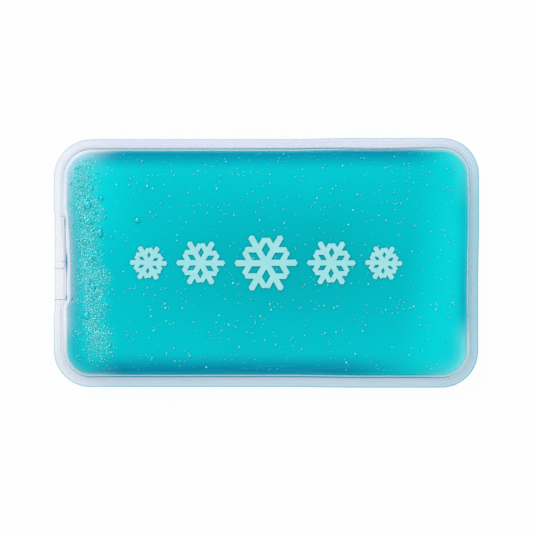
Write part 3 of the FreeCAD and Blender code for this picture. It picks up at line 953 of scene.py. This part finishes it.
def paint_drop(out, lit, rng, count):
    """A larger drop with its light and shade painted: clear in the middle, dark towards the rim, most on
    the side away from the light, with a pale crescent of painted light inside that and a small white
    highlight towards the light."""
    clear = np.broadcast_to((*WATER_CLEAR, 0.85), out.shape + (4,))
    colour = glaze_all(clear, [
        (WATER_DARK, smooth_step(out, 0.68, 0.9) * (0.55 - 0.5 * lit)),
        (WATER_LIGHT, 0.3 * smooth_step(-lit, 0.25, 0.5) * line(out, 0.55, 0.13)),
        (WATER_LIGHT, 1.2 * line(lit, 0.42, 0.16) * line(out, 0.45, 0.18)),
    ])
    colour[..., 3] *= 1 - smooth_step(out, 0.96, 1.0)
    return colour


def paint_bubble(out, lit, rng, count):
    """A bubble: pale aqua, darker at the rim away from the light, and most of them hardly paler than
    the gel."""
    strength = 0.2 + 0.8 * rng.uniform(0, 1, (count, 1, 1)) ** 2
    brightness = smooth_step(lit, -0.9, -0.2)[..., None]
    colour = WATER_SHADE * (1 - brightness) + WATER_LIGHT * brightness
    colour = WATER_BODY * (1 - strength) + colour * strength
    return np.concatenate([colour, water_cover(out, 0.92)], axis=-1)


# %% The dew
DEW_TRIES, DEW_DENSITY = 17000, 0.9
rng = np.random.default_rng(7)
dew_x = -HALF_LENGTH + rng.uniform(4.5, 22.0, DEW_TRIES) * MM
dew_y = rng.uniform(-38.0, 39.0, DEW_TRIES) * MM
kept = rng.uniform(0, 1, DEW_TRIES) < DEW_DENSITY * mist_amount(dew_x, dew_y)
dew_x, dew_y = dew_x[kept], dew_y[kept]
dew_size = (0.09 + 0.17 * rng.uniform(0, 1, len(dew_x)) ** 1.5) * MM
dew = domes(
    "dew", dew_x, dew_y, dew_size, 1.15 * dew_size, 0.15 * dew_size,
    rows=3, columns=6, paint=paint_dew, seed=8,
)

# %% The larger drops
# In millimetres: place in from the left edge and up from the middle, half width and half length
DROPS = np.array([
    (12.9, 20.2, 1.25, 1.6), (13.2, 14.5, 1.0, 1.5), (17.2, 10.6, 0.9, 1.5), (13.9, 1.2, 1.0, 1.2),
    (14.7, -8.2, 0.95, 1.15), (12.5, -18.2, 1.1, 1.4), (9.7, 29.3, 0.55, 0.7), (6.5, 27.9, 0.5, 0.6),
    (9.2, 33.3, 0.55, 0.65), (14.2, 26.0, 0.6, 0.8), (17.6, 22.6, 0.55, 0.8), (15.3, 17.2, 0.5, 0.6),
    (18.9, 15.8, 0.45, 0.6), (8.6, 6.1, 0.4, 0.55), (6.9, -12.4, 0.5, 0.7), (17.4, -3.6, 0.5, 0.7),
    (30.2, 14.9, 0.75, 1.0), (16.1, 31.5, 0.4, 0.5), (21.3, 9.1, 0.4, 0.5), (19.6, -14.8, 0.4, 0.5),
]) * MM
drop_x, drop_y, drop_width, drop_length = DROPS.T
drops = domes(
    "drops", drop_x - HALF_LENGTH, drop_y, drop_width, drop_length, 0.3 * drop_width,
    rows=10, columns=24, paint=paint_drop, seed=9,
)

# %% The bubbles
BUBBLE_TRIES = 900
rng = np.random.default_rng(10)
bubble_x = rng.uniform(-58.0, 66.0, BUBBLE_TRIES) * MM
bubble_y = rng.uniform(-38.0, 38.5, BUBBLE_TRIES) * MM
bubble_size = (0.14 + 0.22 * rng.uniform(0, 1, BUBBLE_TRIES) ** 3) * MM
bubbles = domes(
    "bubbles", bubble_x, bubble_y, bubble_size, 1.35 * bubble_size, 0.18 * bubble_size,
    rows=3, columns=6, paint=paint_bubble, seed=11,
)

# %% The water's material
water_material, tree, shader = new_material("water")
tint = add_node(tree, "Attribute", attribute_name="tint")
place = add_node(tree, "TexCoord")["Object"]
ripple = add_node(tree, "TexNoise", {"Vector": place, "Scale": 900.0, "Detail": 1.0})
uneven = add_node(tree, "Bump", {"Height": ripple["Fac"], "Strength": 0.15, "Distance": 0.0001})
feed(tree, shader, {"Base Color": tint["Color"], "Alpha": tint["Alpha"], "Normal": uneven["Normal"]})
feed(tree, shader, {"Roughness": 0.12, "IOR": 1.33, "Specular IOR Level": 0.06})
for piece in (dew, drops, bubbles):
    piece.data.materials.append(water_material)
print("water on", dew.name, drops.name, bubbles.name)

# %% [markdown]
# ## The table, the lights and the camera
#
# The pack was photographed from above on pure white. The table is a large white sheet that shows as
# white to the camera and in reflections, but still takes some of the pack's soft shadow, and can be
# looked through from below. Broad lamps stand to the sides, so that none is mirrored in the flat front,
# and a pale world fills in the rest.

# %% The table
TABLE_REACH, TABLE_LEVEL = 6.0, -0.02 * MM
ways = [(-1, -1), (1, -1), (1, 1), (-1, 1)]
corners = [(x * TABLE_REACH, y * TABLE_REACH, TABLE_LEVEL) for x, y in ways]
table_mesh = bpy.data.meshes.new("table")
table_mesh.from_pydata(corners, [], [(0, 1, 2, 3)])
table = bpy.data.objects.new("table", table_mesh)
bpy.context.collection.objects.link(table)
print(f"the table is {2 * TABLE_REACH:.0f} m wide")

# %% The table's material
# The share of the table's look that is plain white, and not lit
WHITE_SHARE = 0.94
table_material, tree, shader = new_material("white_table")
feed(tree, shader, {"Base Color": (0.9, 0.9, 0.9, 1.0), "Roughness": 0.9, "Specular IOR Level": 0.0})
ray = add_node(tree, "LightPath")
seen = add_node(tree, "Math", {0: ray["Is Camera Ray"], 1: ray["Is Glossy Ray"]}, operation="MAXIMUM")
seen = add_node(tree, "Math", {0: seen["Value"], 1: ray["Is Transmission Ray"]}, operation="MAXIMUM")
share = add_node(tree, "Math", {0: seen["Value"], 1: WHITE_SHARE}, operation="MULTIPLY")
white = add_node(tree, "Emission", {"Strength": 1.0})["Emission"]
top_side = add_node(tree, "MixShader", {0: share["Value"], 1: shader.outputs["BSDF"], 2: white})["Shader"]
from_below = add_node(tree, "NewGeometry")["Backfacing"]
nothing = add_node(tree, "BsdfTransparent")["BSDF"]
one_sided = add_node(tree, "MixShader", {0: from_below, 1: top_side, 2: nothing})["Shader"]
feed(tree, tree.nodes["Material Output"], {"Surface": one_sided})
table_mesh.materials.append(table_material)
print("table material:", len(tree.nodes), "nodes")

# %% The world and the lamps
world = bpy.data.worlds.new("studio")
world.use_nodes = True
tree = world.node_tree
feed(tree, tree.nodes["Background"], {"Color": (0.94, 0.97, 1.0, 1.0), "Strength": 0.63})
sky = tree.nodes["Background"].outputs["Background"]
backdrop = add_node(tree, "Background", {"Color": (1.0, 1.0, 1.0, 1.0), "Strength": 1.0})["Background"]
to_camera = add_node(tree, "LightPath")["Is Camera Ray"]
mix = add_node(tree, "MixShader", {0: to_camera, 1: sky, 2: backdrop})["Shader"]
feed(tree, tree.nodes["World Output"], {"Surface": mix})
bpy.context.scene.world = world


def add_lamp(name, place, size, power):
    """A square area lamp at a place, turned to look at the middle of the pack."""
    light = bpy.data.lights.new(name, "AREA")
    light.size = size
    light.energy = power
    lamp = bpy.data.objects.new(name, light)
    lamp.location = place
    x, y, z = place
    lamp.rotation_euler = (np.arctan2(np.hypot(x, y), z), 0.0, np.arctan2(y, x) + np.pi / 2)
    bpy.context.collection.objects.link(lamp)


add_lamp("key_lamp", (-0.55, 0.65, 0.75), size=0.5, power=4.1)
add_lamp("fill_lamp", (0.75, 0.2, 0.7), size=0.6, power=1.6)
add_lamp("front_lamp", (0.1, -0.85, 0.7), size=0.6, power=1.6)
print("lamps:", len(bpy.data.lights))

# %% The camera
# The photograph's scale, its width in pixels, and how many pixels its middle is from the pack's
PIXEL, PHOTO_WIDTH = 0.3538 * MM, 533
PHOTO_MIDDLE = (0.5, -3.5)
lens = bpy.data.cameras.new("camera")
lens.lens, lens.sensor_width = 100.0, 36.0
camera = bpy.data.objects.new("camera", lens)
height = PHOTO_WIDTH * PIXEL / lens.sensor_width * lens.lens
camera.location = (PHOTO_MIDDLE[0] * PIXEL, PHOTO_MIDDLE[1] * PIXEL, height + WELD_HEIGHT)
bpy.context.collection.objects.link(camera)
bpy.context.scene.camera = camera
bpy.context.scene.view_settings.view_transform = "Standard"
print(f"the camera is {camera.location.z:.3f} m above the table")
